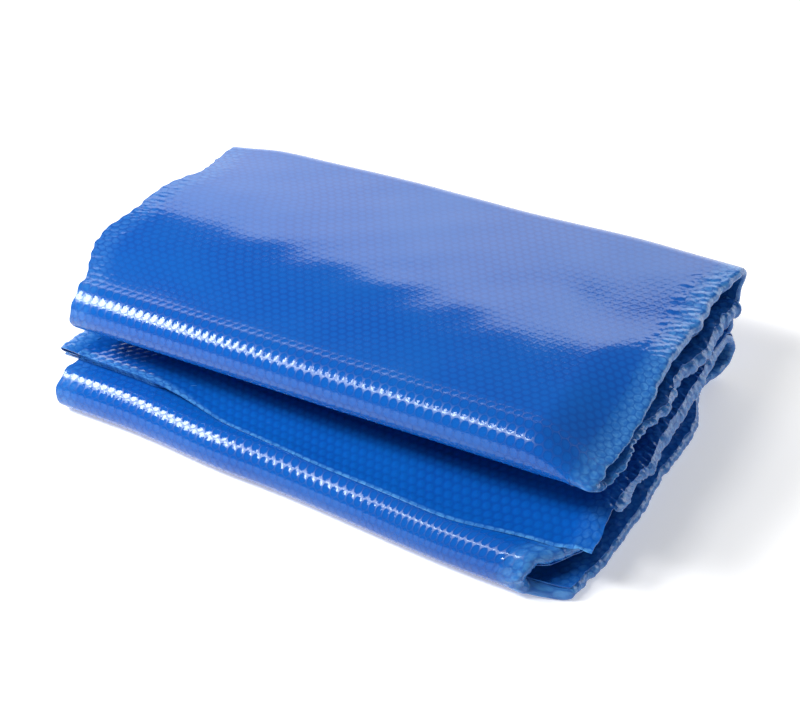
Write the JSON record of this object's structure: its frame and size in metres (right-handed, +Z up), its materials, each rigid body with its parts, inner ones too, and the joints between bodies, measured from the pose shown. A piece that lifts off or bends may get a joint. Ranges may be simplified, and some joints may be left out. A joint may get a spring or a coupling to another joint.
{
  "type": "folded solar blanket",
  "caption": "Blue solar bubble blanket for a spa or pool, folded into a flat pack that opens like a book.",
  "frame": {"origin": "centre of the flat bottom, on the surface that the folded blanket rests on", "axes": "+X along the folds, +Y to the closed spine with the open front at -Y, +Z up"},
  "size_m": [0.6402, 0.43, 0.1584],
  "materials": {
    "bubble_film": "glossy, slightly translucent blue film with bubbles",
    "creased_film": "glossy blue film with crushed bubbles"
  },
  "bodies": {
    "lower_pack": {"floor_leaf_ply_1": "bubble_film", "floor_leaf_ply_2": "bubble_film", "floor_leaf_ply_3": "bubble_film", "floor_leaf_crease_right": "creased_film", "floor_leaf_crease_left": "creased_film", "inner_roll_ply_1": "bubble_film", "inner_roll_ply_2": "bubble_film", "inner_roll_ply_3": "bubble_film", "inner_roll_crease_right": "creased_film", "inner_roll_crease_left": "creased_film", "inner_leaf_ply_1": "bubble_film", "inner_leaf_ply_2": "bubble_film", "inner_leaf_ply_3": "bubble_film", "inner_leaf_crease_right": "creased_film", "inner_leaf_crease_left": "creased_film", "base_roll_ply_1": "bubble_film", "base_roll_ply_2": "bubble_film", "base_roll_ply_3": "bubble_film", "base_roll_crease_right": "creased_film", "base_roll_crease_left": "creased_film", "base_leaf_ply_1": "bubble_film", "base_leaf_ply_2": "bubble_film", "base_leaf_ply_3": "bubble_film", "base_leaf_crease_right": "creased_film", "base_leaf_crease_left": "creased_film"},
    "back_spine": {"spine_ply_1": "bubble_film", "spine_ply_2": "bubble_film", "spine_ply_3": "bubble_film", "spine_crease_right": "creased_film", "spine_crease_left": "creased_film"},
    "upper_pack": {"cover_leaf_ply_1": "bubble_film", "cover_leaf_ply_2": "bubble_film", "cover_leaf_ply_3": "bubble_film", "cover_leaf_crease_right": "creased_film", "cover_leaf_crease_left": "creased_film", "upper_roll_ply_1": "bubble_film", "upper_roll_ply_2": "bubble_film", "upper_roll_ply_3": "bubble_film", "upper_roll_crease_right": "creased_film", "upper_roll_crease_left": "creased_film", "under_leaf_ply_1": "bubble_film", "under_leaf_ply_2": "bubble_film", "under_leaf_ply_3": "bubble_film", "under_leaf_crease_right": "creased_film", "under_leaf_crease_left": "creased_film"},
    "front_lip": {"lip_ply_1": "bubble_film", "lip_ply_2": "bubble_film", "lip_ply_3": "bubble_film", "lip_crease_right": "creased_film", "lip_crease_left": "creased_film"}
  },
  "joints": [
    {"name": "spine_fold", "type": "hinge", "parent": "lower_pack", "child": "back_spine", "pos_m": [0, 0.215, 0], "axis": [-1, 0, 0], "range_deg": [0, 90]},
    {"name": "cover_fold", "type": "hinge", "parent": "back_spine", "child": "upper_pack", "pos_m": [0, 0.215, 0.141], "axis": [-1, 0, 0], "range_deg": [0, 87.3]},
    {"name": "lip_lift", "type": "hinge", "parent": "lower_pack", "child": "front_lip", "pos_m": [0, -0.0764, 0.06781], "axis": [-1, 0, 0], "range_deg": [0, 15]}
  ],
  "couplings": [
    {"joint": "cover_fold", "follows": "spine_fold", "ratio": 0.97}
  ]
}
